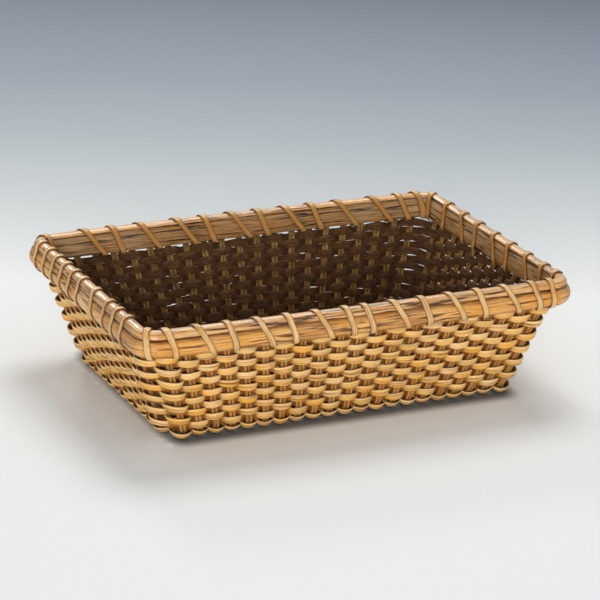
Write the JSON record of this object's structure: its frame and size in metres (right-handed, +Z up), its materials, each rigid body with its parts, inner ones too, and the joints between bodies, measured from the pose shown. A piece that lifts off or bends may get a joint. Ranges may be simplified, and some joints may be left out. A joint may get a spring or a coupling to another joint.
{
  "type": "rectangular open rattan tray basket",
  "caption": "Low rectangular woven rattan basket with leaning walls, paired-rod stakes, woven base and a hooped rim bound in flat cane",
  "frame": {"origin": "middle of the footprint, on the surface that the basket stands on", "axes": "+X along the length, +Y along the depth from front to back, +Z up through the open top"},
  "size_m": [0.382, 0.2598, 0.103],
  "materials": {
    "stake_rod": "brown rattan rod, satin",
    "weaver_cane": "honey flat-oval cane, satin",
    "base_cane": "brown flat cane, satin",
    "rim_pole": "split pole, tan with brown grain, varnished",
    "rim_strip": "brown split strip, fine fibres, dull",
    "lashing_cane": "pale glossy flat cane"
  },
  "bodies": {
    "root": {"cross_stake_01": "stake_rod", "cross_stake_02": "stake_rod", "cross_stake_03": "stake_rod", "cross_stake_04": "stake_rod", "cross_stake_05": "stake_rod", "cross_stake_06": "stake_rod", "cross_stake_07": "stake_rod", "cross_stake_08": "stake_rod", "cross_stake_09": "stake_rod", "cross_stake_10": "stake_rod", "cross_stake_11": "stake_rod", "cross_stake_12": "stake_rod", "cross_stake_13": "stake_rod", "cross_stake_14": "stake_rod", "cross_stake_15": "stake_rod", "cross_stake_16": "stake_rod", "cross_stake_17": "stake_rod", "cross_stake_18": "stake_rod", "cross_stake_19": "stake_rod", "cross_stake_20": "stake_rod", "cross_stake_21": "stake_rod", "long_stake_01": "stake_rod", "long_stake_02": "stake_rod", "long_stake_03": "stake_rod", "long_stake_04": "stake_rod", "long_stake_05": "stake_rod", "long_stake_06": "stake_rod", "long_stake_07": "stake_rod", "long_stake_08": "stake_rod", "long_stake_09": "stake_rod", "long_stake_10": "stake_rod", "long_stake_11": "stake_rod", "long_stake_12": "stake_rod", "wall_weaver_01": "weaver_cane", "wall_weaver_02": "weaver_cane", "wall_weaver_03": "weaver_cane", "wall_weaver_04": "weaver_cane", "wall_weaver_05": "weaver_cane", "wall_weaver_06": "weaver_cane", "wall_weaver_07": "weaver_cane", "wall_weaver_08": "weaver_cane", "wall_weaver_09": "weaver_cane", "wall_weaver_10": "weaver_cane", "wall_weaver_11": "weaver_cane", "wall_weaver_12": "weaver_cane", "wall_weaver_13": "weaver_cane", "base_weaver_a": "base_cane", "base_weaver_b": "base_cane", "outer_hoop": "rim_pole", "inner_hoop": "rim_strip", "top_strip": "rim_strip", "lashing_front": "lashing_cane", "lashing_right": "lashing_cane", "lashing_back": "lashing_cane", "lashing_left": "lashing_cane"}
  },
  "joints": []
}
